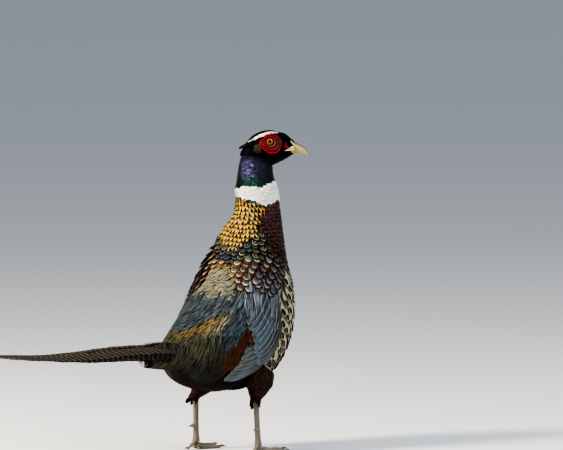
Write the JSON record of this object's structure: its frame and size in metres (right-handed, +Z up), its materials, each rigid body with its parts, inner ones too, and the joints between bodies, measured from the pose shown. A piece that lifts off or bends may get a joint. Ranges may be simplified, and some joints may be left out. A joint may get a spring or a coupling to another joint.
{
  "type": "common pheasant",
  "caption": "Male common pheasant standing upright and alert, head turned to its right, wings folded and long pointed tail held out level behind.",
  "frame": {"origin": "middle of the bird's bounding box at floor level", "axes": "+X the way the breast faces, -Y the bird's right side, +Z up"},
  "size_m": [0.5884, 0.151, 0.3898],
  "materials": {
    "body_plumage": "soft",
    "mantle_plumage": "satin",
    "white_ring": "soft",
    "glossy_neck": "iridescent",
    "face_skin": "waxy",
    "bill_horn": "satin",
    "eye": "wet",
    "wing_plumage": "soft",
    "tail_plumage": "soft",
    "thigh_plumage": "soft",
    "leg_scales": "satin",
    "claw_horn": "satin"
  },
  "bodies": {
    "root": {"torso": "body_plumage", "neck_lower": "mantle_plumage", "neck_ring": "white_ring", "neck_upper": "glossy_neck", "head": "glossy_neck", "bill_upper": "bill_horn", "bill_lower": "bill_horn", "tail": "tail_plumage", "wing_right": "wing_plumage", "wing_left": "wing_plumage", "eye_right": "eye", "eye_left": "eye", "wattle_right": "face_skin", "wattle_left": "face_skin", "thigh_right": "thigh_plumage", "thigh_left": "thigh_plumage", "shank_right": "leg_scales", "shank_left": "leg_scales", "foot_right": "leg_scales", "foot_left": "leg_scales", "claw_middle_right": "claw_horn", "claw_middle_left": "claw_horn", "claw_inner_right": "claw_horn", "claw_inner_left": "claw_horn", "claw_outer_right": "claw_horn", "claw_outer_left": "claw_horn", "claw_hind_right": "claw_horn", "claw_hind_left": "claw_horn"}
  },
  "joints": []
}
